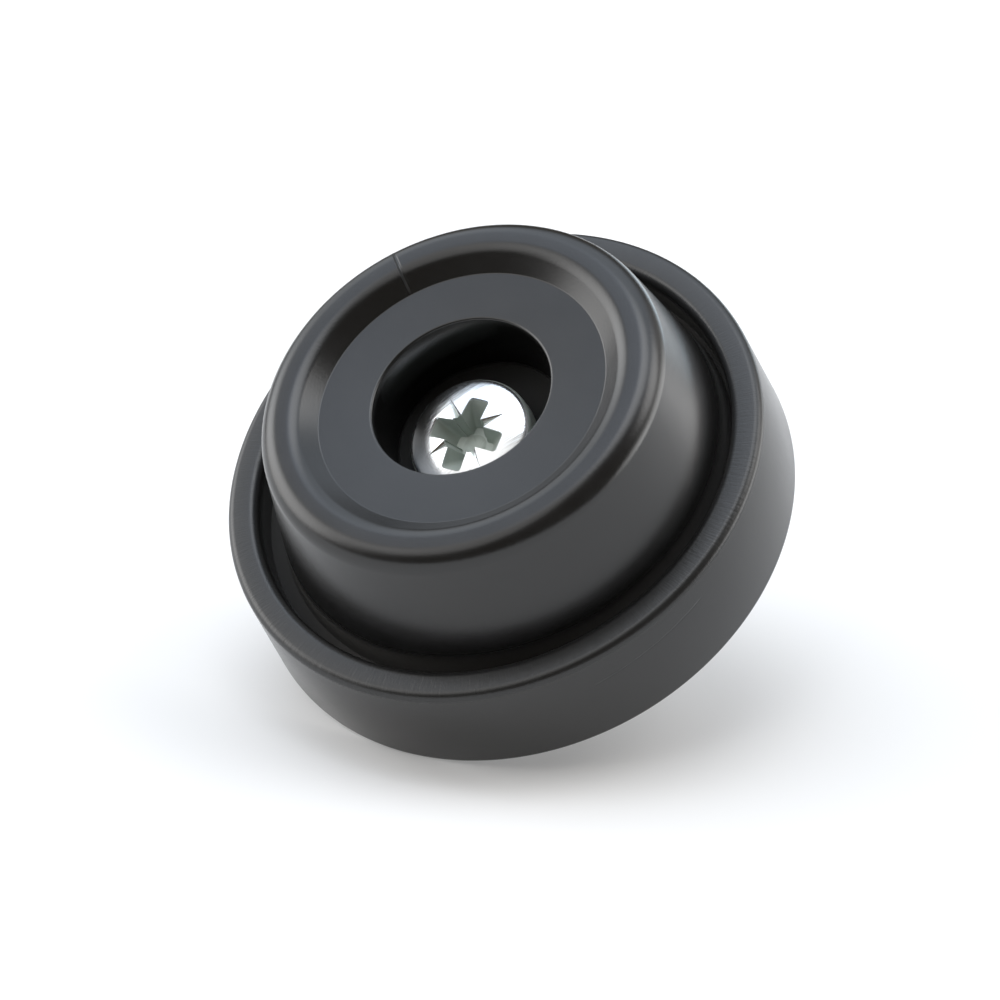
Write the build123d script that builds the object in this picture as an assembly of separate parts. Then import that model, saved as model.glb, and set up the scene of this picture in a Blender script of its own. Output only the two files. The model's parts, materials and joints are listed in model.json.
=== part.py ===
from build123d import *
import math
import os

# Screw-in furniture glide: a moulded foot with a stepped outline, and the pan-head wood screw that fixes it.
# Lengths are millimetres and angles are degrees. Both pieces are drawn round the foot's own axis, with the
# mounting face at height zero and the running side up. Radii build up from the screw outwards, so each wall
# and gap keeps its size when another changes. The pieces are then laid down together as the loose glide
# comes to rest, on the edge of its flange and on the point of its screw.

# Screw: domed head, plain shank through the foot, thread below it at its outer size, with a sloped start a
# small gap below the mounting face, and point
screw_length = 22.0
shank_radius = 1.65
thread_radius = 2.25
thread_gap = 0.1
thread_run_in = 0.3
point_length = 4.5
nose_radius = 0.3
head_radius = 4.45
head_height = 2.4
head_edge_height = 1.55
head_edge_radius = 0.55

# Cross recess of the screw, whose arms stand a quarter turn apart, with a tick mark midway between them
recess_turn = 5.5
arm_spacing = 90.0
recess_depth = 2.0
wing_reach = 2.85
wing_foot_reach = 1.3
wing_width = 1.5
wing_foot_width = 0.9
wing_corner_radius = 0.2
core_mouth_radius = 1.7
core_foot_radius = 0.8
core_tip_depth = 0.4
tick_reach = 3.2
tick_width = 0.22
tick_depth = 0.14

# Clearance hole, which the thread passes through, and seat and bore for the screw's head
hole_clearance = 0.2
side_gap = 0.05
bore_clearance = 1.33
bore_depth = 4.85
bore_draft = 2.0
bore_edge = 0.2

# Sunk face round the bore, with a slope that rises from it to the crest
face_width = 3.8
face_depth = 0.95
face_slope = 39.5

# Cup, whose rounded crest runs on the floor
body_height = 15.0
crest_radius = 1.4
crest_land = 0.51
shoulder_radius = 2.2
cup_draft = 11.2

# Groove between the cup and the rim of the flange
groove_depth = 2.7
groove_floor_width = 0.65

# Flange, the wide ring that bears against the furniture
flange_height = 7.5
flange_draft = 3.5
rim_width = 2.15
rim_edge_radius = 0.6
mounting_edge_radius = 0.3

# Coring of the underside, which keeps the moulding's walls even
face_thickness = 2.4
cup_wall = 2.2
boss_wall = 2.6
groove_floor_thickness = 2.3
flange_wall = 2.4
core_draft = 1.0
rib_count = 6
rib_thickness = 1.6
rib_setback = 0.8

# The most of a wall that a rounded corner may take, and how far cutting shapes stand past what they cut
rounding_share = 0.45
overrun = 1.0
right_angle = 90.0


def grade(angle):
    """Rise over run of a slope at an angle."""
    return math.tan(math.radians(angle))


def rounding_run(radius, turn):
    """Length that a rounded corner takes from each of its sides, for the angle that the outline turns by."""
    return radius * math.tan(math.radians(turn) / 2)


def within(radius, wall):
    """A corner's radius, held to what its wall has room for."""
    return min(radius, rounding_share * wall)


# Heights above the mounting face
face_height = body_height - face_depth
seat_height = face_height - bore_depth
floor_height = flange_height - groove_depth
screw_drop = screw_length - seat_height
plain_length = seat_height + thread_gap
thread_depth = plain_length + thread_run_in

# Radii from the screw outwards
hole_radius = thread_radius + hole_clearance
screw_shift = hole_radius - shank_radius - side_gap
bore_seat_radius = head_radius + bore_clearance
bore_mouth_radius = bore_seat_radius + bore_depth * grade(bore_draft)
face_radius = bore_mouth_radius + face_width
crest_inner_radius = face_radius + face_depth / grade(face_slope)
crest_run = rounding_run(crest_radius, face_slope)
shoulder_run = rounding_run(shoulder_radius, right_angle - cup_draft)
cup_top_radius = crest_inner_radius + crest_run + crest_land + shoulder_run
cup_base_radius = cup_top_radius + (body_height - floor_height) * grade(cup_draft)
rim_inner_radius = cup_base_radius + groove_floor_width
flange_top_radius = rim_inner_radius + rim_width
flange_radius = flange_top_radius + flange_height * grade(flange_draft)


def rounded(section, corner, radius):
    """Round the corner of a section that lies nearest to a point."""
    nearest = section.vertices().sort_by_distance(Vector(*corner))[0]
    return fillet(nearest, radius)


def turned(corners, radii=()):
    """Turn a closed half-section of (radius, height) corners about the axis, with some corners rounded."""
    section = make_face(Polyline(*corners, close=True))
    for corner, radius in radii:
        section = rounded(section, corner, radius)
    return revolve(Plane.XZ * section, axis=Axis.Z)


def solid_foot():
    """The moulding before its underside is cored: flange, groove, cup, sunk face, bore, seat and hole."""
    mounting_edge = (flange_radius, 0)
    rim_outer = (flange_top_radius, flange_height)
    rim_inner = (rim_inner_radius, flange_height)
    groove_outer = (rim_inner_radius, floor_height)
    groove_inner = (cup_base_radius, floor_height)
    shoulder = (cup_top_radius, body_height)
    crest = (crest_inner_radius, body_height)
    face_edge = (face_radius, face_height)
    bore_rim = (bore_mouth_radius + bore_edge, face_height)
    bore_mouth = (bore_mouth_radius - bore_edge * grade(bore_draft), face_height - bore_edge)
    seat_edge = (bore_seat_radius, seat_height)
    hole_top = (hole_radius, seat_height)
    hole_foot = (hole_radius, 0)
    corners = [hole_foot, mounting_edge, rim_outer, rim_inner, groove_outer, groove_inner, shoulder, crest,
               face_edge, bore_rim, bore_mouth, seat_edge, hole_top]
    rim_radius = within(rim_edge_radius, rim_width)
    radii = [(mounting_edge, mounting_edge_radius), (rim_outer, rim_radius), (rim_inner, rim_radius),
             (shoulder, shoulder_radius), (crest, crest_radius)]
    return turned(corners, radii)


def ring_core(inner_radius, outer_radius, top):
    """A ring-shaped core that draws out through the mounting face, narrowest at its top."""
    spread = (top + overrun) * grade(core_draft)
    foot = [(inner_radius - spread, -overrun), (outer_radius + spread, -overrun)]
    return turned([*foot, (outer_radius, top), (inner_radius, top)])


def foot_body():
    """The moulded foot, cored from below by two rings, with ribs left standing across the deep one."""
    deep_top = face_height - face_thickness
    cup_outer = cup_base_radius - (deep_top - floor_height) * grade(cup_draft)
    deep_core = ring_core(bore_mouth_radius + boss_wall, cup_outer - cup_wall, deep_top)
    rib_height = deep_top - rib_setback + overrun
    rib = Box(flange_radius, rib_thickness, rib_height, align=(Align.MIN, Align.CENTER, Align.MIN))
    for spot in PolarLocations(0, rib_count):
        deep_core -= spot * Pos(0, 0, rib_setback) * rib

    shallow_core = ring_core(cup_outer, flange_radius - flange_wall, floor_height - groove_floor_thickness)
    return solid_foot() - deep_core - shallow_core


def head_blank(lowering=0):
    """The domed head, without its recess, standing on height zero and lowered all over by a little."""
    rise = head_height - head_edge_height
    dome_radius = (head_radius ** 2 + rise ** 2) / (2 * rise)
    apex = (0, head_height - lowering)
    edge = (head_radius, head_edge_height - lowering)
    dome = RadiusArc(edge, apex, -dome_radius)
    sides = Polyline(apex, (0, 0), (head_radius, 0), edge)
    section = rounded(make_face([dome, sides]), edge, within(head_edge_radius, head_edge_height))
    return revolve(Plane.XZ * section, axis=Axis.Z)


def shank_blank():
    """Plain shank, thread and tapered point, which ends in a small ball that meets the cone smoothly."""
    ball_centre = nose_radius - screw_length
    cone_rise = point_length - nose_radius
    slant_length = math.hypot(thread_radius, cone_rise)
    half_angle = math.atan2(thread_radius, cone_rise) - math.asin(nose_radius / slant_length)
    touch = (nose_radius * math.cos(half_angle), ball_centre - nose_radius * math.sin(half_angle))
    ball = RadiusArc((0, -screw_length), touch, -nose_radius)
    cone_top = (thread_radius, point_length - screw_length)
    sides = Polyline(touch, cone_top, (thread_radius, -thread_depth), (shank_radius, -plain_length),
                     (shank_radius, 0), (0, 0), (0, -screw_length))
    return revolve(Plane.XZ * make_face([ball, sides]), axis=Axis.Z)


def recess_cutter():
    """The cross recess: a tapered core and two crossing wings that narrow towards their foot."""
    mouth = head_height
    foot = head_height - recess_depth
    core_side = [(core_foot_radius, foot), (core_mouth_radius, mouth)]
    core = turned([(0, foot - core_tip_depth), *core_side, (0, mouth)])
    corner_radius = within(wing_corner_radius, wing_foot_width)
    wing_mouth = Pos(0, 0, mouth) * RectangleRounded(2 * wing_reach, wing_width, corner_radius)
    wing_foot = Pos(0, 0, foot) * RectangleRounded(2 * wing_foot_reach, wing_foot_width, corner_radius)
    wing = loft([wing_foot, wing_mouth])
    return core + wing + Rot(0, 0, arm_spacing) * wing


def tick_cutter():
    """Four fine marks midway between the wings, sunk evenly into the dome."""
    mark = Box(2 * tick_reach, tick_width, head_height, align=(Align.CENTER, Align.CENTER, Align.MIN))
    marks = Rot(0, 0, arm_spacing / 2) * mark + Rot(0, 0, -arm_spacing / 2) * mark
    return marks - head_blank(tick_depth)


def fixing_screw():
    """The wood screw, with the underside of its head at height zero and its point downwards."""
    blank = head_blank() + shank_blank()
    return blank - Rot(0, 0, recess_turn) * recess_cutter() - Rot(0, 0, recess_turn) * tick_cutter()


def resting_tilt():
    """Angle by which the glide leans when its flange edge and the screw's point both touch the floor."""
    draft = math.radians(flange_draft)
    edge_centre = flange_radius - mounting_edge_radius * (math.tan(draft) + 1 / math.cos(draft))
    reach = edge_centre - screw_shift
    drop = mounting_edge_radius + screw_drop - nose_radius
    slack = math.asin((nose_radius - mounting_edge_radius) / math.hypot(reach, drop))
    return math.degrees(math.atan2(drop, reach) + slack)


# The screw lies against the low side of its clearance hole, with its head on the seat
body = foot_body()
screw = Pos(0, -screw_shift, seat_height) * fixing_screw()

# Lay both pieces down and stand them on height zero, centred over the origin
leaning = Rot(resting_tilt(), 0, 0)
box = Compound([leaning * body, leaning * screw]).bounding_box()
at_rest = Pos(-box.center().X, -box.center().Y, -box.min.Z) * leaning

os.makedirs("parts", exist_ok=True)
export_step(at_rest * body, "parts/foot_body.step")
export_step(at_rest * screw, "parts/fixing_screw.step")
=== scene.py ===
"""Looks of a screw-in furniture glide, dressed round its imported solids.

The loose glide lies on a white floor, on the edge of its flange and on the point of its own screw. Two
pieces are modelled here in the glide's own axes, in millimetres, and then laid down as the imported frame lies:
the moulded foot with its cored underside, and the zinc-plated screw with its cross recess, tick marks and
thread.
"""

import json
import logging
import math
from dataclasses import dataclass
from enum import Enum
from types import MappingProxyType
from typing import Any, Mapping, Sequence, Union

import bmesh
import bpy
from mathutils import Matrix, Vector


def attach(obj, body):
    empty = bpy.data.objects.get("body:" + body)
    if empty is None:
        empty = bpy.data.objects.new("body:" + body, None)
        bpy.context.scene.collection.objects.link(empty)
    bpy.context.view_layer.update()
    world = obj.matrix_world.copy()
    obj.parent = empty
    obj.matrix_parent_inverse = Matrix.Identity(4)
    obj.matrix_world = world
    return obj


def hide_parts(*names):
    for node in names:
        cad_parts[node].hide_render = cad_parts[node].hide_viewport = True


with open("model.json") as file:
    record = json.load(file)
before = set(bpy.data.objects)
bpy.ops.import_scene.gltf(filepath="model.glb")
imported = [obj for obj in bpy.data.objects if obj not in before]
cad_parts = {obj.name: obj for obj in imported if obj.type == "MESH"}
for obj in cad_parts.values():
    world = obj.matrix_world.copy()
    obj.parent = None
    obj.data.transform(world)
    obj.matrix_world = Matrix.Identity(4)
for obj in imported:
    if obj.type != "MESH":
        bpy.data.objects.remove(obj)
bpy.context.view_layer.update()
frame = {"record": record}

LOG = logging.getLogger("glide")
MM = 0.001
FULL_TURN = 2.0 * math.pi

NOTHING: Mapping[Any, Any] = MappingProxyType({})

Number = Union[int, float]
Span = tuple[float, float]


class Piece(Enum):
    """Names of the two pieces, each with the solid that it stands for and its material slot in the record."""

    FOOT = ("moulded_foot", "foot_body", "black_moulding")
    SCREW = ("zinc_screw", "fixing_screw", "zinc_plate")

    @property
    def title(self) -> str:
        """Name of the piece's object."""
        return self.value[0]

    @property
    def solid(self) -> str:
        """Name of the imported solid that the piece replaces."""
        return self.value[1]

    @property
    def slot(self) -> str:
        """Name of the record's material slot."""
        return self.value[2]


@dataclass(frozen=True)
class Lie:
    """How the glide lies: where its own origin is, in metres, and how far its axis leans towards -Y."""

    origin: Vector
    tilt: float

    @classmethod
    def from_record(cls, record: Mapping[str, Any]) -> "Lie":
        """Read the lie from the mounting face, which is square to the glide's axis.

        Args:
            record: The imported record.

        Returns:
            The lie of the glide at rest.
        """
        face = next(mount for mount in record["mounts"] if mount["name"] == "mounting_face")
        _, across, along = face["pos_m"]
        _, lean, drop = face["axis"]
        return cls(Vector((0.0, across, along)), math.atan2(lean, -drop))

    @property
    def matrix(self) -> Matrix:
        """Matrix from the glide's own millimetres to the resting frame's metres."""
        turn = Matrix.Rotation(self.tilt, 4, "X")
        return Matrix.Translation(self.origin) @ turn @ Matrix.Scale(MM, 4)


def grade(angle: float) -> float:
    """Rise over run of a slope at an angle in degrees."""
    return math.tan(math.radians(angle))


def clamped(share: float, least: float = 0.0) -> float:
    """A share, held between a least share and one."""
    return min(1.0, max(least, share))


def aim(around: float, rise: float) -> Vector:
    """Unit vector that points so many degrees round from -Y and so many up from the floor."""
    turn = math.radians(around)
    lift = math.radians(rise)
    return Vector((math.sin(turn) * math.cos(lift), -math.cos(turn) * math.cos(lift), math.sin(lift)))


@dataclass(frozen=True)
class Corner:
    """A corner of a turned section: its radius and height, and the rounding that it gets."""

    radius: float
    height: float
    rounding: float = 0.0
    segments: int = 1

    @property
    def place(self) -> Vector:
        """The corner in the plane that is spun."""
        return Vector((self.radius, 0.0, self.height))


class Mesher:
    """Shapes a bmesh in the glide's own millimetres, with operators."""

    def __init__(self) -> None:
        """Start from an empty mesh."""
        self.bm = bmesh.new()

    def outline(self, corners: Sequence[Corner], closed: bool = True) -> None:
        """Draw a section as a wire of corners and round them.

        Args:
            corners: The section's corners in order.
            closed: Whether the last corner joins the first.
        """
        verts = [self.bm.verts.new(corner.place) for corner in corners]
        pairs = list(zip(verts, verts[1:]))
        if closed:
            pairs.append((verts[-1], verts[0]))
        for pair in pairs:
            self.bm.edges.new(pair)
        for index, (vert, corner) in enumerate(zip(verts, corners)):
            if corner.rounding:
                before = corners[index - 1].place - corner.place
                after = corners[(index + 1) % len(corners)].place - corner.place
                turn = math.pi - before.angle(after)
                bmesh.ops.bevel(self.bm, geom=[vert], offset=corner.rounding * math.tan(turn / 2.0),
                                offset_type="ABSOLUTE", affect="VERTICES", segments=corner.segments,
                                profile=0.5, material=-1, clamp_overlap=False)

    def turn(self, steps: int) -> None:
        """Spin all that is drawn about the glide's axis, all the way round, and close it."""
        bmesh.ops.spin(self.bm, geom=[*self.bm.verts, *self.bm.edges], cent=(0.0, 0.0, 0.0),
                       axis=(0.0, 0.0, 1.0), angle=FULL_TURN, steps=steps, use_merge=True)
        self.close()

    def close(self, distance: float = 1e-4) -> None:
        """Merge doubled vertices and point all faces outwards."""
        bmesh.ops.remove_doubles(self.bm, verts=self.bm.verts, dist=distance)
        bmesh.ops.dissolve_degenerate(self.bm, dist=distance, edges=self.bm.edges)
        bmesh.ops.recalc_face_normals(self.bm, faces=self.bm.faces)

    def arc(self, vert: bmesh.types.BMVert, middle: Vector, angle: float, steps: int) -> bmesh.types.BMVert:
        """Draw an arc on from a vertex, in the plane that is spun, and return its last vertex."""
        drawn = bmesh.ops.spin(self.bm, geom=[vert], cent=middle, axis=(0.0, 1.0, 0.0), angle=angle,
                               steps=steps)["geom_last"]
        return next(item for item in drawn if isinstance(item, bmesh.types.BMVert))

    def merge(self, other: "Mesher") -> None:
        """Take over all of another mesh."""
        carried = bpy.data.meshes.new("carried")
        other.bm.to_mesh(carried)
        other.bm.free()
        self.bm.from_mesh(carried)
        bpy.data.meshes.remove(carried)

    def block(self, size: Vector, place: Matrix) -> list[bmesh.types.BMVert]:
        """Add a box of a size, at a place."""
        made = bmesh.ops.create_cube(self.bm, size=1.0)["verts"]
        bmesh.ops.scale(self.bm, vec=size, verts=made)
        bmesh.ops.transform(self.bm, matrix=place, verts=made)
        return made

    def to_object(self, title: str, matrix: Matrix = Matrix.Identity(4)) -> bpy.types.Object:
        """Finish the mesh as an object whose place is in its vertices.

        Args:
            title: Name of the object.
            matrix: Matrix from the mesh's units to the scene.

        Returns:
            The new object, linked to the scene.
        """
        bmesh.ops.transform(self.bm, matrix=matrix, verts=self.bm.verts)
        mesh = bpy.data.meshes.new(title)
        self.bm.to_mesh(mesh)
        self.bm.free()
        made = bpy.data.objects.new(title, mesh)
        bpy.context.scene.collection.objects.link(made)
        return made


class Combine(Enum):
    """Ways to combine two closed shapes."""

    JOIN = "UNION"
    CUT = "DIFFERENCE"


def combined(base: bpy.types.Object, tool: bpy.types.Object, way: Combine, overlapping: bool = False) -> None:
    """Join a shape to another or cut it out, and remove the tool.

    Args:
        base: The object that keeps the result.
        tool: The object that is joined or cut out, and then deleted.
        way: Whether to join or to cut.
        overlapping: Whether the tool is made of shells that cross each other.
    """
    step = base.modifiers.new("combine", "BOOLEAN")
    step.object = tool
    step.operation = way.value
    step.solver = "EXACT"
    step.use_self = overlapping
    depsgraph = bpy.context.evaluated_depsgraph_get()
    result = bpy.data.meshes.new_from_object(base.evaluated_get(depsgraph))
    base.modifiers.clear()
    old = base.data
    base.data = result
    result.name = base.name
    bpy.data.meshes.remove(old)
    bpy.data.objects.remove(tool)


class Value:
    """A value that a shader graph works out, with the usual arithmetic."""

    def __init__(self, graph: "Graph", socket: bpy.types.NodeSocket) -> None:
        """Wrap an output socket of a graph."""
        self.graph = graph
        self.socket = socket

    def __add__(self, other: "Source") -> "Value":
        """Sum of two values."""
        return self.graph.maths("ADD", self, other)

    def __radd__(self, other: "Source") -> "Value":
        """Sum of two values."""
        return self.graph.maths("ADD", other, self)

    def __sub__(self, other: "Source") -> "Value":
        """Difference of two values."""
        return self.graph.maths("SUBTRACT", self, other)

    def __rsub__(self, other: "Source") -> "Value":
        """Difference of two values."""
        return self.graph.maths("SUBTRACT", other, self)

    def __mul__(self, other: "Source") -> "Value":
        """Product of two values."""
        return self.graph.maths("MULTIPLY", self, other)

    def __rmul__(self, other: "Source") -> "Value":
        """Product of two values."""
        return self.graph.maths("MULTIPLY", other, self)

    def __abs__(self) -> "Value":
        """Value without its sign."""
        return self.graph.maths("ABSOLUTE", self)

    def least(self, other: "Source") -> "Value":
        """The smaller of two values."""
        return self.graph.maths("MINIMUM", self, other)

    def ramp(self, low: float, high: float) -> "Value":
        """Zero at or below low, one at or above high, and a soft step between them."""
        return self.graph.value("ShaderNodeMapRange", 0, {"interpolation_type": "SMOOTHSTEP"},
                                {"Value": self, "From Min": low, "From Max": high})

    def below(self, fall: Span) -> "Value":
        """One below a soft fall, and zero above it."""
        return 1.0 - self.ramp(*fall)

    def within(self, rise: Span, fall: Span) -> "Value":
        """One between a soft rise and a soft fall, and zero outside them."""
        return self.ramp(*rise) * self.below(fall)

    def band(self, middle: float, half: float, soft: float) -> "Value":
        """One within half of a middle, and zero past a soft edge."""
        return 1.0 - abs(self - middle).ramp(half, half + soft)


Source = Union[Value, Number, Sequence[float]]


class Graph:
    """Builds a node tree out of values."""

    def __init__(self, tree: bpy.types.NodeTree) -> None:
        """Start from an empty tree."""
        self.tree = tree
        tree.nodes.clear()

    def node(self, kind: str, settings: Mapping[str, Any] = NOTHING,
             sockets: Mapping[Union[str, int], Source] = NOTHING) -> bpy.types.Node:
        """Add a node.

        Args:
            kind: The node's type.
            settings: Its settings, which are set first.
            sockets: Values or links of its input sockets.

        Returns:
            The new node.
        """
        made = self.tree.nodes.new(kind)
        for name, setting in settings.items():
            setattr(made, name, setting)
        for key, source in sockets.items():
            if isinstance(source, Value):
                self.tree.links.new(source.socket, made.inputs[key])
            else:
                made.inputs[key].default_value = source
        return made

    def value(self, kind: str, output: Union[str, int], settings: Mapping[str, Any] = NOTHING,
              sockets: Mapping[Union[str, int], Source] = NOTHING) -> Value:
        """Add a node and return one of its outputs."""
        return Value(self, self.node(kind, settings, sockets).outputs[output])

    def surface(self, kind: str, shader: bpy.types.Node) -> None:
        """Add an output node of a kind, which shows a shader."""
        self.node(kind, NOTHING, {"Surface": Value(self, shader.outputs[0])})

    def maths(self, operation: str, *sources: Source) -> Value:
        """Add a Math node on one, two or three values."""
        return self.value("ShaderNodeMath", 0, {"operation": operation}, dict(enumerate(sources)))

    def vector(self, operation: str, output: str, *sources: Source) -> Value:
        """Add a Vector Math node."""
        return self.value("ShaderNodeVectorMath", output, {"operation": operation}, dict(enumerate(sources)))

    def scaled(self, colour: Sequence[float], level: Source) -> Value:
        """A colour, brighter or darker by a level."""
        sockets = {0: colour, "Scale": level}
        return self.value("ShaderNodeVectorMath", "Vector", {"operation": "SCALE"}, sockets)

    def blend(self, factor: Source, first: Source, second: Source) -> Value:
        """Mix two colours."""
        settings = {"data_type": "RGBA", "clamp_factor": True}
        return self.value("ShaderNodeMix", 2, settings, {0: factor, 6: first, 7: second})

    def noise(self, where: Value, scale: float, detail: float = 2.0, roughness: float = 0.5) -> Value:
        """A soft random value between zero and one, so many times a unit."""
        sockets = {"Vector": where, "Scale": scale, "Detail": detail, "Roughness": roughness}
        return self.value("ShaderNodeTexNoise", 0, {"noise_dimensions": "3D"}, sockets)

    def bump(self, height: Value, depth: float) -> Value:
        """A normal for a height, whose unit is a depth in metres."""
        sockets = {"Height": height, "Strength": 1.0, "Distance": depth}
        return self.value("ShaderNodeBump", 0, NOTHING, sockets)


def new_material(title: str) -> tuple[bpy.types.Material, Graph]:
    """Make an empty material, and the graph that fills it."""
    made = bpy.data.materials.new(title)
    made.use_nodes = True
    return made, Graph(made.node_tree)


class OwnPlace:
    """Places on the glide in its own millimetres, worked out in a shader graph."""

    def __init__(self, graph: Graph, lie: Lie) -> None:
        """Undo the lie of the glide, so that patterns follow its own axis."""
        back = Matrix.Rotation(-lie.tilt, 4, "X")
        shift = -(back @ lie.origin) / MM
        where = graph.value("ShaderNodeTexCoord", "Object")
        sockets = {"Vector": where, "Location": shift, "Rotation": (-lie.tilt, 0.0, 0.0),
                   "Scale": (1.0 / MM,) * 3}
        self.graph = graph
        self.point = graph.value("ShaderNodeMapping", 0, {"vector_type": "POINT"}, sockets)
        parts = graph.node("ShaderNodeSeparateXYZ", NOTHING, {0: self.point})
        self.x, self.y, self.height = (Value(graph, parts.outputs[index]) for index in range(3))
        self.radius = graph.maths("SQRT", self.x * self.x + self.y * self.y)
        self.angle = graph.maths("ARCTAN2", self.y, self.x) * math.degrees(1.0)

    def stretched(self, scale: Sequence[float], turn: Sequence[float]) -> Value:
        """The place, turned and then stretched, for streaks."""
        turned = self.graph.value("ShaderNodeMapping", 0, {"vector_type": "POINT"},
                                  {"Vector": self.point, "Rotation": turn})
        return self.graph.vector("MULTIPLY", "Vector", turned, scale)


@dataclass(frozen=True)
class MouldedPlastic:
    """Black satin plastic, as it comes from the mould, with dust in the groove and painted shade in the bore.

    Each zone starts and ends softly, over a span of radii or of heights in the glide's own millimetres.
    """

    dark: Sequence[float] = (0.0098, 0.0096, 0.0094)
    worn: Sequence[float] = (0.0130, 0.0130, 0.0132)
    dust: Sequence[float] = (0.045, 0.044, 0.042)
    # painted shade: a near-black colour that stands for the shade in the bore
    painted_bore_shade: Sequence[float] = (0.003, 0.003, 0.003)
    wear_span: Span = (0.35, 0.75)
    wear_share: float = 0.5
    roughness: float = 0.23
    unevenness: float = 0.05
    bore_roughness: float = 0.13
    matt_roughness: float = 0.85
    rim_roughness: float = 0.32
    shine: float = 0.57
    relief: float = 0.00003
    fine_relief: float = 0.2
    grain_relief: float = 0.12
    rim_grain_relief: float = 0.5
    knit_relief: float = 0.7
    scratch_relief: float = 0.5
    cloud_scale: float = 0.45
    fine_scale: float = 7.0
    streaks_per_degree: float = 2.4
    streaks_per_length: float = 0.9
    rim_foot: Span = (6.7, 7.2)
    rim_inner: Span = (16.0, 16.4)
    rim_outer: Span = (18.5, 18.8)
    groove_inner: Span = (14.9, 15.2)
    groove_outer: Span = (16.5, 16.7)
    groove_floor: Span = (3.8, 4.2)
    groove_mouth: Span = (6.0, 7.2)
    bore_wall: Span = (6.3, 6.5)
    bore_foot: Span = (8.0, 8.5)
    bore_mouth: Span = (13.4, 13.8)
    seat_top: Span = (9.3, 9.6)
    knit_angle: float = 136.5
    knit_gap: float = 0.15
    knit_width: Span = (0.02, 0.08)
    knit_run: Sequence[float] = (11.8, 1.4, 0.8)
    knit_foot: Span = (12.0, 13.5)
    scratch_start: Span = (-41.0, 5.0)
    scratch_end: Span = (-18.0, 5.5)
    scratch_width: Span = (0.02, 0.06)
    scratch_fade: float = 3.0

    def grain(self, own: OwnPlace) -> Value:
        """Fine streaks that run out from the axis, as the mould's surface left them."""
        graph = own.graph
        sockets = {0: own.angle * self.streaks_per_degree, 1: own.radius * self.streaks_per_length,
                   2: own.height * self.streaks_per_length}
        return graph.noise(graph.value("ShaderNodeCombineXYZ", 0, NOTHING, sockets), 1.0, roughness=0.6)

    def knit_line(self, own: OwnPlace, offset: float = 0.0) -> Value:
        """The line where the melt closed on itself, across the crest, or one beside it."""
        turn = math.radians(self.knit_angle)
        aside = own.x * math.sin(turn) - own.y * math.cos(turn)
        along = own.x * math.cos(turn) + own.y * math.sin(turn)
        line = aside.band(offset, *self.knit_width) * along.band(*self.knit_run)
        return line * own.height.ramp(*self.knit_foot)

    def scratch(self, own: OwnPlace) -> Value:
        """A shallow scratch along the flange's wall."""
        (first, low), (last, high) = self.scratch_start, self.scratch_end
        line = low + (own.angle - first) * ((high - low) / (last - first))
        run = own.angle.band((first + last) / 2.0, (last - first) / 2.0, self.scratch_fade)
        return (own.height - line).band(0.0, *self.scratch_width) * run

    def material(self, lie: Lie) -> bpy.types.Material:
        """Make the material.

        Args:
            lie: How the glide lies, which its patterns follow.

        Returns:
            The finished material.
        """
        made, graph = new_material(Piece.FOOT.slot)
        own = OwnPlace(graph, lie)
        cloud = graph.noise(own.point, self.cloud_scale, detail=3.0)
        fine = graph.noise(own.point, self.fine_scale, detail=3.0, roughness=0.6)
        on_rim = own.height.ramp(*self.rim_foot) * own.radius.within(self.rim_inner, self.rim_outer)
        in_groove = (own.radius.within(self.groove_inner, self.groove_outer)
                     * own.height.within(self.groove_floor, self.groove_mouth))
        in_bore = own.radius.below(self.bore_wall) * own.height.within(self.bore_foot, self.bore_mouth)
        on_seat = in_bore * own.height.below(self.seat_top)
        edge = self.knit_relief * self.knit_line(own, self.knit_gap)
        grain = (self.grain_relief + self.rim_grain_relief * on_rim) * self.grain(own)
        height = self.fine_relief * fine + grain - (edge + self.scratch_relief * self.scratch(own))
        wear = cloud.ramp(*self.wear_span) * self.wear_share
        colour = graph.blend(wear, (*self.dark, 1.0), (*self.worn, 1.0))
        colour = graph.blend(in_groove, colour, (*self.dust, 1.0))
        # painted shade: the bore's wall and seat take a near-black colour, for the shade that falls in the bore
        colour = graph.blend(in_bore, colour, (*self.painted_bore_shade, 1.0))
        rough = (self.roughness + self.unevenness * (cloud - 0.5)
                 + on_rim * (self.rim_roughness - self.roughness)
                 + in_bore * (self.bore_roughness - self.roughness))
        matt = (in_groove + self.knit_line(own) + on_seat).least(1.0)
        rough = rough + matt * (self.matt_roughness - rough)
        shader = graph.node("ShaderNodeBsdfPrincipled", NOTHING, {
            "Base Color": colour, "Roughness": rough, "Specular IOR Level": self.shine,
            "Normal": graph.bump(height, self.relief)})
        graph.surface("ShaderNodeOutputMaterial", shader)
        return made


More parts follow.
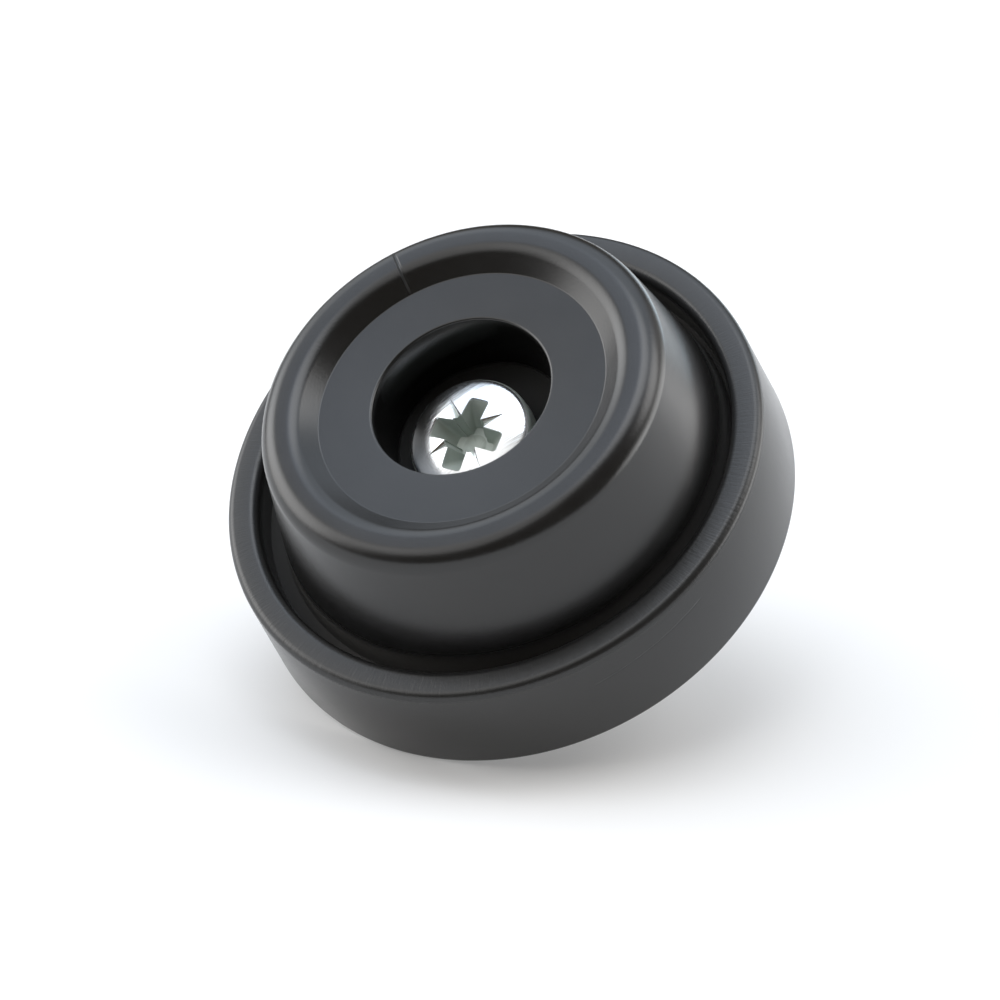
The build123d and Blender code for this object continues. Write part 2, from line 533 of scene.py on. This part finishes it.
@dataclass(frozen=True)
class ZincPlate:
    """Bright zinc plate on the screw, scratched on the dome, rough and less metallic in the recess, whose
    colour is darkened there as painted shade.
    """

    bright: Sequence[float] = (0.80, 0.82, 0.84)
    # painted shade: the darker greenish grey that stands for the shade in the cross recess
    painted_recess_shade: Sequence[float] = (0.41, 0.455, 0.42)
    roughness: float = 0.2
    unevenness: float = 0.08
    dull_roughness: float = 0.45
    dull_metal: float = 0.3
    relief: float = 0.000012
    cloud_scale: float = 0.9
    streak_stretch: Sequence[float] = (9.0, 0.7, 3.0)
    streak_turn: Sequence[float] = (0.0, 0.0, 0.6)
    sunk_depth: Span = (0.05, 0.16)
    recess_foot: Span = (8.4, 8.8)

    def material(self, lie: Lie, ball: Vector, ball_radius: float) -> bpy.types.Material:
        """Make the material.

        Args:
            lie: How the glide lies, which its patterns follow.
            ball: Middle of the ball that the head's dome is part of, in the glide's own axes.
            ball_radius: Radius of that ball.

        Returns:
            The finished material.
        """
        made, graph = new_material(Piece.SCREW.slot)
        own = OwnPlace(graph, lie)
        reach = graph.vector("DISTANCE", "Value", own.point, tuple(ball))
        sunk = (ball_radius - reach).ramp(*self.sunk_depth) * own.height.ramp(*self.recess_foot)
        cloud = graph.noise(own.point, self.cloud_scale, detail=3.0)
        streaks = graph.noise(own.stretched(self.streak_stretch, self.streak_turn), 1.0, detail=3.0)
        # painted shade: the recess is coloured darker, for the shade inside it
        colour = graph.blend(sunk, (*self.bright, 1.0), (*self.painted_recess_shade, 1.0))
        rough = (self.roughness + self.unevenness * (cloud - 0.5)
                 + sunk * (self.dull_roughness - self.roughness))
        shader = graph.node("ShaderNodeBsdfPrincipled", NOTHING, {
            "Base Color": colour, "Metallic": 1.0 - sunk * (1.0 - self.dull_metal), "Roughness": rough,
            "Normal": graph.bump(streaks, self.relief)})
        graph.surface("ShaderNodeOutputMaterial", shader)
        return made


def shade(made: bpy.types.Object, crease: float) -> None:
    """Shade an object smooth, with edges sharp past an angle in degrees."""
    made.data.shade_smooth()
    made.data.set_sharp_from_angle(angle=math.radians(crease))


@dataclass
class MouldedFoot:
    """The foot: flange with its rim, groove, cup with its crest, sunk face, bore and cored underside."""

    flange_radius: float = 19.0
    flange_height: float = 7.5
    flange_draft: float = 3.5
    rim_width: float = 2.15
    rim_rounding: float = 0.6
    mounting_rounding: float = 0.3
    groove_depth: float = 2.7
    groove_width: float = 0.65
    groove_rounding: float = 0.08
    cup_shift: Sequence[float] = (0.25, 0.2, 0.0)
    body_height: float = 15.18
    cup_draft: float = 12.6
    shoulder_rounding: float = 1.5
    crest_rounding: float = 1.4
    face_radius: float = 9.75
    face_depth: float = 1.13
    face_slope: float = 40.0
    face_rounding: float = 0.15
    bore_radius: float = 6.03
    bore_draft: float = 2.0
    bore_rounding: float = 0.22
    seat_height: float = 9.2
    hole_radius: float = 2.45
    face_wall: float = 2.4
    cup_wall: float = 2.2
    boss_wall: float = 2.6
    groove_wall: float = 2.3
    flange_wall: float = 2.4
    core_draft: float = 1.0
    core_rounding: float = 0.4
    rib_count: int = 6
    rib_thickness: float = 1.6
    rib_setback: float = 0.8
    rib_rounding: float = 0.25
    rib_segments: int = 3
    rib_bite: float = 0.6
    steps: int = 360
    crease: float = 38.0

    def cup_radius(self, height: float) -> float:
        """Outer radius of the cup's drafted wall at a height."""
        return self.cup_base - (height - self.floor_height) * grade(self.cup_draft)

    def __post_init__(self) -> None:
        """Work out the heights and radii that follow from the sizes."""
        self.floor_height = self.flange_height - self.groove_depth
        self.face_height = self.body_height - self.face_depth
        self.flange_top = self.flange_radius - self.flange_height * grade(self.flange_draft)
        self.rim_inner = self.flange_top - self.rim_width
        self.cup_base = self.rim_inner - self.groove_width
        self.crest_inner = self.face_radius + self.face_depth / grade(self.face_slope)
        self.bore_foot = self.bore_radius - (self.face_height - self.seat_height) * grade(self.bore_draft)
        self.deep_top = self.face_height - self.face_wall
        self.deep_inner = self.bore_radius + self.boss_wall
        self.deep_outer = self.cup_radius(self.deep_top) - self.cup_wall
        self.shallow_top = self.floor_height - self.groove_wall
        self.shallow_inner = self.deep_outer + self.cup_wall
        self.shallow_outer = self.flange_radius - self.flange_wall

    def ring_pocket(self, inner: float, outer: float, top: float) -> list[Corner]:
        """Corners of a ring-shaped pocket of the underside, from its inner foot to its outer foot."""
        spread = top * grade(self.core_draft)
        return [Corner(inner - spread, 0.0, self.core_rounding, 3), Corner(inner, top, self.core_rounding, 4),
                Corner(outer, top, self.core_rounding, 4), Corner(outer + spread, 0.0, self.core_rounding, 3)]

    def section(self) -> list[Corner]:
        """The foot's closed half-section, without its ribs."""
        return [
            Corner(self.hole_radius, 0.0, self.mounting_rounding, 3),
            *self.ring_pocket(self.deep_inner, self.deep_outer, self.deep_top),
            *self.ring_pocket(self.shallow_inner, self.shallow_outer, self.shallow_top),
            Corner(self.flange_radius, 0.0, self.mounting_rounding, 5),
            Corner(self.flange_top, self.flange_height, self.rim_rounding, 8),
            Corner(self.rim_inner, self.flange_height, self.rim_rounding, 8),
            Corner(self.rim_inner, self.floor_height, self.groove_rounding, 4),
            Corner(self.cup_base, self.floor_height, self.groove_rounding, 4),
            Corner(self.cup_radius(self.body_height), self.body_height, self.shoulder_rounding, 16),
            Corner(self.crest_inner, self.body_height, self.crest_rounding, 10),
            Corner(self.face_radius, self.face_height, self.face_rounding, 4),
            Corner(self.bore_radius, self.face_height, self.bore_rounding, 6),
            Corner(self.bore_foot, self.seat_height, self.bore_rounding, 4),
            Corner(self.hole_radius, self.seat_height, self.bore_rounding, 3),
        ]

    def ribs(self) -> bpy.types.Object:
        """The ribs across the deep pocket, each with rounded lower edges."""
        mesher = Mesher()
        length = self.deep_outer - self.deep_inner + 2.0 * self.rib_bite
        height = self.deep_top + self.rib_bite - self.rib_setback
        size = Vector((length, self.rib_thickness, height))
        middle = Vector(((self.deep_inner + self.deep_outer) / 2.0, 0.0, self.rib_setback + height / 2.0))
        for index in range(self.rib_count):
            turn = Matrix.Rotation(index * FULL_TURN / self.rib_count, 4, "Z")
            mesher.block(size, Matrix.Translation(self.cup_shift) @ turn @ Matrix.Translation(middle))
        foot = [edge for edge in mesher.bm.edges
                if all(vert.co.z < self.rib_setback + self.rib_rounding for vert in edge.verts)]
        long_feet = [edge for edge in foot if edge.calc_length() > self.rib_thickness + self.rib_rounding]
        bmesh.ops.bevel(mesher.bm, geom=long_feet, offset=self.rib_rounding, affect="EDGES",
                        segments=self.rib_segments, profile=0.5, material=-1)
        mesher.close()
        return mesher.to_object("ribs")

    def set_cup_aside(self, mesher: Mesher) -> None:
        """Shift the cup, its bore and its deep pocket to one side of the flange and of the screw's hole."""
        hole_edge = self.hole_radius + self.boss_wall / 2.0
        in_groove = (self.cup_base + self.rim_inner) / 2.0
        in_wall = (self.deep_outer + self.shallow_inner) / 2.0
        moved = []
        for vert in mesher.bm.verts:
            outer = in_groove if vert.co.z > self.shallow_top + self.core_rounding else in_wall
            if hole_edge < vert.co.xy.length < outer:
                moved.append(vert)
        bmesh.ops.translate(mesher.bm, vec=self.cup_shift, verts=moved)

    def build(self, lie: Lie) -> bpy.types.Object:
        """Turn the section, set the cup aside, join the ribs and lay the foot down.

        Args:
            lie: How the glide lies.

        Returns:
            The finished piece.
        """
        mesher = Mesher()
        mesher.outline(self.section())
        mesher.turn(self.steps)
        self.set_cup_aside(mesher)
        made = mesher.to_object(Piece.FOOT.title)
        combined(made, self.ribs(), Combine.JOIN)
        made.data.transform(lie.matrix)
        shade(made, self.crease)
        return made


@dataclass(frozen=True)
class Bar:
    """A bar of the recess's cross: half its length and its width, at mouth and foot, and its corners."""

    reach: float
    foot_reach: float
    width: float
    foot_width: float
    rounding: float


@dataclass
class ZincScrew:
    """The pan-head wood screw: dome, cross recess, ticks, plain shank, thread and point."""

    seat_height: float = 9.2
    shift: Sequence[float] = (0.21, -0.58)
    lean: float = 8.8
    lean_run: float = 3.0
    length: float = 22.0
    head_radius: float = 4.22
    head_height: float = 2.4
    edge_height: float = 1.62
    edge_rounding: float = 0.6
    under_rounding: float = 0.15
    neck_rounding: float = 0.35
    shank_radius: float = 1.65
    plain_length: float = 9.3
    run_in: float = 0.3
    run_in_rounding: float = 0.08
    thread_radius: float = 2.25
    root_radius: float = 1.45
    root_least: float = 0.05
    point_length: float = 4.5
    point_rounding: float = 0.6
    point_ridge: float = 0.35
    nose_radius: float = 0.3
    nose_shares: Span = (0.7, 0.6)
    nose_rounding: float = 0.1
    nose_fade: float = 6.0
    pitch: float = 2.2
    ridge_width: float = 0.95
    crest_width: float = 0.1
    ridge_bite: float = 0.12
    ridge_foot_least: float = 0.02
    fade_turns: float = 0.45
    recess_turn: float = 0.5
    recess_aside: Sequence[float] = (0.0, -0.13)
    recess_depth: float = 2.0
    arm: Bar = Bar(2.8, 1.3, 1.5, 0.9, 0.22)
    flute: Bar = Bar(1.5, 0.95, 0.6, 0.45, 0.08)
    core_mouth: float = 1.4
    core_foot: float = 0.8
    core_tip: float = 0.4
    core_steps: int = 96
    bar_segments: int = 5
    tick_reach: Sequence[float] = (3.1, 3.6, 3.1, 3.1)
    tick_root: float = 1.2
    tick_width: float = 0.34
    tick_depth: float = 0.22
    tick_point: float = 0.004
    tick_lift: float = 0.01
    tick_cuts: int = 7
    overrun: float = 0.6
    steps: int = 192
    turn_steps: int = 60
    dome_steps: int = 22
    edge_steps: int = 8
    crease: float = 32.0

    @property
    def rise(self) -> float:
        """Height of the dome above the head's edge."""
        return self.head_height - self.edge_height

    @property
    def dome_radius(self) -> float:
        """Radius of the ball that the dome is part of."""
        return (self.head_radius ** 2 + self.rise ** 2) / (2.0 * self.rise)

    def place(self) -> Matrix:
        """Matrix from the screw's own axes, with the head's underside at height zero, to the glide's."""
        return Matrix.Translation((*self.shift, self.seat_height))

    def ball(self) -> Vector:
        """Middle of the dome's ball, in the glide's own axes."""
        leaning = Matrix.Rotation(math.radians(self.lean), 4, "X")
        return self.place() @ leaning @ Vector((0.0, 0.0, self.head_height - self.dome_radius))

    def lean_over(self, mesh: bpy.types.Mesh) -> None:
        """Lean the head over, as the loose screw's head stands, with the shank's top easing into the lean."""
        full = math.radians(self.lean)
        for vert in mesh.vertices:
            x, y, z = vert.co
            share = clamped(1.0 + z / self.lean_run)
            turn = full * share * share * (3.0 - 2.0 * share)
            above = max(z, 0.0)
            vert.co = (x, y * math.cos(turn) - above * math.sin(turn),
                       min(z, 0.0) + y * math.sin(turn) + above * math.cos(turn))

    def blank(self) -> bpy.types.Object:
        """Head, plain shank, thread root and point, turned in one piece."""
        mesher = Mesher()
        middle = Vector((0.0, 0.0, self.head_height - self.dome_radius))
        reach = self.head_radius - self.edge_rounding
        slant = self.dome_radius - self.edge_rounding
        sweep = math.asin(reach / slant)
        edge = middle + Vector((reach, 0.0, slant * math.cos(sweep)))
        apex = mesher.bm.verts.new((0.0, 0.0, self.head_height))
        shoulder = mesher.arc(apex, middle, sweep, self.dome_steps)
        mesher.arc(shoulder, edge, math.pi / 2.0 - sweep, self.edge_steps)
        point_top = self.point_length - self.length
        nose_reach, nose_rise = (share * self.nose_radius for share in self.nose_shares)
        mesher.outline([
            Corner(self.head_radius, edge.z),
            Corner(self.head_radius, 0.0, self.under_rounding, 4),
            Corner(self.shank_radius, 0.0, self.neck_rounding, 5),
            Corner(self.shank_radius, -self.plain_length, self.run_in_rounding, 3),
            Corner(self.root_radius, -self.plain_length - self.run_in, self.run_in_rounding, 3),
            Corner(self.root_radius, point_top, self.point_rounding, 4),
            Corner(nose_reach, nose_rise - self.length, self.nose_rounding, 4),
            Corner(0.0, -self.length),
        ], closed=False)
        mesher.turn(self.steps)
        return mesher.to_object(Piece.SCREW.title)

    def root_at(self, height: float) -> float:
        """Radius at the foot of the thread, which narrows along the point."""
        along = (height + self.length) / self.point_length
        return self.root_radius * clamped(along, self.root_least)

    def crest_at(self, height: float) -> float:
        """Radius at the crest of the thread, which rises at its start and narrows along the point."""
        along = clamped((height + self.length - self.nose_radius) / self.point_length)
        start = clamped((-self.plain_length - height) / (self.fade_turns * self.pitch))
        full = self.thread_radius - self.root_radius
        ridge = full * (self.point_ridge + (1.0 - self.point_ridge) * along)
        return self.root_at(height) + ridge * start * clamped(self.nose_fade * along)

    def ridge(self) -> bpy.types.Object:
        """The thread's ridge, swept by a spin that moves down as it turns, and fitted to root and point."""
        mesher = Mesher()
        inner = self.root_radius - self.ridge_bite
        half = self.ridge_width / 2.0
        land = self.crest_width / 2.0
        top = -self.plain_length
        mesher.outline([Corner(inner, top + half), Corner(self.thread_radius, top + land),
                        Corner(self.thread_radius, top - land), Corner(inner, top - half)])
        turns = (self.length - self.plain_length - 2.0 * self.nose_radius) / self.pitch
        steps = round(turns * self.turn_steps)
        bmesh.ops.spin(mesher.bm, geom=[*mesher.bm.verts, *mesher.bm.edges], cent=(0.0, 0.0, 0.0),
                       axis=(0.0, 0.0, 1.0), dvec=(0.0, 0.0, -self.pitch / self.turn_steps),
                       angle=FULL_TURN * steps / self.turn_steps, steps=steps)
        bmesh.ops.holes_fill(mesher.bm, edges=mesher.bm.edges, sides=4)
        for vert in mesher.bm.verts:
            radius = vert.co.xy.length
            outer = (radius - inner) / (self.thread_radius - inner)
            foot = max(self.ridge_foot_least, self.root_at(vert.co.z) - self.ridge_bite)
            vert.co.xy *= (foot + (self.crest_at(vert.co.z) - foot) * outer) / radius
        bmesh.ops.recalc_face_normals(mesher.bm, faces=mesher.bm.faces)
        return mesher.to_object("ridge")

    def cross(self, mesher: Mesher, bar: Bar, turn: float) -> None:
        """Add two crossing bars to the cutter, each tapered from its mouth to its foot, with rounded corners.

        Args:
            mesher: The cutter's mesh.
            bar: Sizes of one bar.
            turn: Angle of the first bar, in radians.
        """
        depth = self.recess_depth + self.overrun
        growth = depth / self.recess_depth
        reach = bar.foot_reach + (bar.reach - bar.foot_reach) * growth
        width = bar.foot_width + (bar.width - bar.foot_width) * growth
        middle = Vector((0.0, 0.0, self.head_height - self.recess_depth + depth / 2.0))
        shrink = Vector((bar.foot_reach / reach, bar.foot_width / width, 1.0))
        for index in range(2):
            made = Mesher()
            verts = made.block(Vector((2.0 * reach, width, depth)), Matrix.Translation(middle))
            bmesh.ops.scale(made.bm, vec=shrink, verts=[vert for vert in verts if vert.co.z < middle.z])
            upright = [edge for edge in made.bm.edges
                       if abs(edge.verts[0].co.z - edge.verts[1].co.z) > depth / 2.0]
            bmesh.ops.bevel(made.bm, geom=upright, offset=bar.rounding, affect="EDGES",
                            segments=self.bar_segments, profile=0.5, material=-1)
            bmesh.ops.rotate(made.bm, verts=made.bm.verts, cent=(0.0, 0.0, 0.0),
                             matrix=Matrix.Rotation(turn + index * FULL_TURN / 4.0, 3, "Z"))
            mesher.merge(made)

    def tick(self, mesher: Mesher, turn: float, reach: float) -> None:
        """Add one tick mark to the cutter: a needle that is widest at the recess and ends in a point."""
        needle = Mesher()
        made = bmesh.ops.create_cone(needle.bm, segments=4, cap_ends=True, radius1=self.tick_width,
                                     radius2=self.tick_point, depth=reach - self.tick_root)["verts"]
        run = Matrix.Rotation(math.pi / 2.0, 4, "Y")
        middle = (reach + self.tick_root) / 2.0
        bmesh.ops.transform(needle.bm, matrix=Matrix.Translation((middle, 0.0, 0.0)) @ run, verts=made)
        long_edges = [edge for edge in needle.bm.edges
                      if abs(edge.verts[0].co.x - edge.verts[1].co.x) > self.tick_root / 2.0]
        bmesh.ops.subdivide_edges(needle.bm, edges=long_edges, cuts=self.tick_cuts, use_grid_fill=True)
        sink = self.head_height - self.dome_radius
        for vert in needle.bm.verts:
            share = (reach - vert.co.x) / (reach - self.tick_root)
            vert.co.z *= self.tick_depth / self.tick_width
            vert.co.z += sink + math.sqrt(self.dome_radius ** 2 - vert.co.x ** 2) + self.tick_lift * share
        bmesh.ops.rotate(needle.bm, verts=needle.bm.verts, cent=(0.0, 0.0, 0.0),
                         matrix=Matrix.Rotation(turn, 3, "Z"))
        mesher.merge(needle)

    def cutter(self) -> bpy.types.Object:
        """The recess and its ticks as one cutting shape, whose parts cross each other."""
        mesher = Mesher()
        foot = self.head_height - self.recess_depth
        growth = 1.0 + self.overrun / self.recess_depth
        mouth = self.core_foot + (self.core_mouth - self.core_foot) * growth
        mesher.outline([Corner(0.0, foot - self.core_tip), Corner(self.core_foot, foot),
                        Corner(mouth, self.head_height + self.overrun),
                        Corner(0.0, self.head_height + self.overrun)], closed=False)
        mesher.turn(self.core_steps)
        first = math.radians(self.recess_turn)
        self.cross(mesher, self.arm, first)
        self.cross(mesher, self.flute, first + FULL_TURN / 8.0)
        for index, reach in enumerate(self.tick_reach):
            self.tick(mesher, first + (index + 0.5) * FULL_TURN / 4.0, reach)
        return mesher.to_object("cutter", Matrix.Translation((*self.recess_aside, 0.0)))

    def build(self, lie: Lie) -> bpy.types.Object:
        """Make the screw and lay it down in the foot.

        Args:
            lie: How the glide lies.

        Returns:
            The finished piece.
        """
        made = self.blank()
        combined(made, self.ridge(), Combine.JOIN)
        combined(made, self.cutter(), Combine.CUT, overlapping=True)
        self.lean_over(made.data)
        made.data.transform(lie.matrix @ self.place())
        shade(made, self.crease)
        return made


@dataclass(frozen=True)
class Glow:
    """A soft patch of the studio's surroundings: where it is, how wide, how bright and of what colour.

    Its place is given in degrees: round from the camera, to the camera's right, and up from the floor.
    """

    name: str
    around: float
    rise: float
    inner: float
    outer: float
    level: float
    tint: Sequence[float] = (1.0, 1.0, 1.0)

    def shine_on(self, graph: Graph, way: Value, camera_azimuth: float) -> Value:
        """Light of the patch along a way.

        Args:
            graph: The world's graph.
            way: Unit vector that looks out from the scene.
            camera_azimuth: Where the camera stands, in degrees round from -Y.

        Returns:
            The patch's light as a colour.
        """
        middle = aim(camera_azimuth + self.around, self.rise)
        facing = graph.vector("DOT_PRODUCT", "Value", way, tuple(middle))
        inner, outer = (math.cos(math.radians(angle)) for angle in (self.inner, self.outer))
        light = graph.scaled(self.tint, facing.ramp(outer, inner) * self.level)
        light.socket.node.label = self.name
        return light


@dataclass
class Studio:
    """White floor, soft surrounding light and the camera of the photograph's view."""

    azimuth: float = 32.51
    elevation: float = 23.88
    lens: float = 108.0
    sensor: float = 36.0
    clip: Span = (0.005, 50.0)
    glide_seen_at: Sequence[float] = (1.533, -1.034, -203.399)
    floor_half: float = 3.0
    floor_drop: float = 0.00002
    floor_white: float = 0.72
    floor_glow: float = 0.15
    ambient: Sequence[float] = (0.10, 0.085, 0.065)
    glows: Sequence[Glow] = (
        Glow("ceiling", 180.0, 70.0, 12.0, 45.0, 1.3, (0.88, 1.0, 1.15)),
        Glow("top lamp", 0.0, 90.0, 4.0, 22.0, 2.6),
        Glow("high left fill", 240.0, 70.0, 4.0, 22.0, 0.5, (0.88, 1.0, 1.25)),
        Glow("left box", 255.0, 20.0, 8.0, 32.0, 3.0),
        Glow("upper left box", 270.0, 30.0, 8.0, 32.0, 0.95),
        Glow("front left lamp", 305.0, 52.0, 8.0, 28.0, 1.3),
        Glow("rear left box", 225.0, 30.0, 8.0, 32.0, 1.2, (0.94, 1.0, 1.07)),
        Glow("right wash", 105.0, 20.0, 12.0, 45.0, 0.75),
        Glow("high right lamp", 90.0, 50.0, 4.0, 22.0, 3.7),
        Glow("low right box", 105.0, 0.0, 8.0, 32.0, 3.4),
        Glow("low front right lamp", 75.0, 0.0, 4.0, 22.0, 3.3),
        Glow("low rear lamp", 150.0, 0.0, 4.0, 22.0, 2.8, (0.86, 1.0, 1.1)),
    )

    def axes(self) -> Matrix:
        """The camera's own axes: right, up and back."""
        turn = math.radians(self.azimuth)
        right = Vector((math.cos(turn), math.sin(turn), 0.0))
        back = aim(self.azimuth, self.elevation)
        return Matrix((right, back.cross(right), back)).transposed()

    def camera(self, lie: Lie) -> None:
        """Put the camera where it sees the glide as the photograph shows it."""
        axes = self.axes()
        lens = bpy.data.cameras.new("camera")
        lens.lens = self.lens
        lens.sensor_width = self.sensor
        lens.clip_start, lens.clip_end = self.clip
        made = bpy.data.objects.new("camera", lens)
        place = lie.origin - axes @ Vector(self.glide_seen_at) * MM
        made.matrix_world = Matrix.Translation(place) @ axes.to_4x4()
        bpy.context.scene.collection.objects.link(made)
        bpy.context.scene.camera = made

    def floor(self) -> None:
        """Lay the white floor, which shows white to the camera and in reflections, apart from its shadow."""
        mesher = Mesher()
        bmesh.ops.create_grid(mesher.bm, x_segments=1, y_segments=1, size=self.floor_half)
        made = mesher.to_object("floor", Matrix.Translation((0.0, 0.0, -self.floor_drop)))
        white, graph = new_material("white_floor")
        path = graph.node("ShaderNodeLightPath")
        camera, glossy, through = (Value(graph, path.outputs[name]) for name in
                                   ("Is Camera Ray", "Is Glossy Ray", "Is Transmission Ray"))
        seen = (camera + glossy + through).least(1.0)
        matt = graph.value("ShaderNodeBsdfDiffuse", 0, NOTHING, {"Color": (*(self.floor_white,) * 3, 1.0)})
        glow = graph.value("ShaderNodeEmission", 0, NOTHING, {"Strength": seen * self.floor_glow})
        both = graph.node("ShaderNodeAddShader", NOTHING, {0: matt, 1: glow})
        graph.surface("ShaderNodeOutputMaterial", both)
        made.data.materials.append(white)

    def surroundings(self) -> None:
        """Light the glide from soft patches all round, with a white backdrop for the camera."""
        world = bpy.data.worlds.new("studio")
        world.use_nodes = True
        graph = Graph(world.node_tree)
        way = graph.vector("NORMALIZE", "Vector", graph.value("ShaderNodeTexCoord", "Generated"))
        light: Source = self.ambient
        for glow in self.glows:
            light = graph.vector("ADD", "Vector", light, glow.shine_on(graph, way, self.azimuth))
        path = graph.node("ShaderNodeLightPath")
        seen = Value(graph, path.outputs["Is Camera Ray"]) + Value(graph, path.outputs["Is Transmission Ray"])
        shown = graph.blend(seen.least(1.0), light, (1.0, 1.0, 1.0, 1.0))
        back = graph.node("ShaderNodeBackground", NOTHING, {"Color": shown, "Strength": 1.0})
        graph.surface("ShaderNodeOutputWorld", back)
        bpy.context.scene.world = world

    def build(self, lie: Lie) -> None:
        """Set up floor, light, camera and the plain view transform."""
        self.floor()
        self.surroundings()
        self.camera(lie)
        bpy.context.scene.view_settings.view_transform = "Standard"


def take_over(made: bpy.types.Object, piece: Piece, finish: bpy.types.Material) -> None:
    """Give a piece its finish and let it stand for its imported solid."""
    made.data.materials.clear()
    made.data.materials.append(finish)
    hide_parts(piece.solid)
    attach(made, "root")
    LOG.info("%s stands for %s with %d faces", made.name, piece.solid, len(made.data.polygons))


def main() -> None:
    """Build the pieces and the studio, and report each of them."""
    logging.basicConfig(level=logging.INFO, format="%(name)s: %(message)s")
    lie = Lie.from_record(frame["record"])
    LOG.info("the glide leans by %.2f degrees", math.degrees(lie.tilt))
    foot = MouldedFoot().build(lie)
    take_over(foot, Piece.FOOT, MouldedPlastic().material(lie))
    screw = ZincScrew()
    made = screw.build(lie)
    take_over(made, Piece.SCREW, ZincPlate().material(lie, screw.ball(), screw.dome_radius))
    Studio().build(lie)


if __name__ == "__main__":
    main()
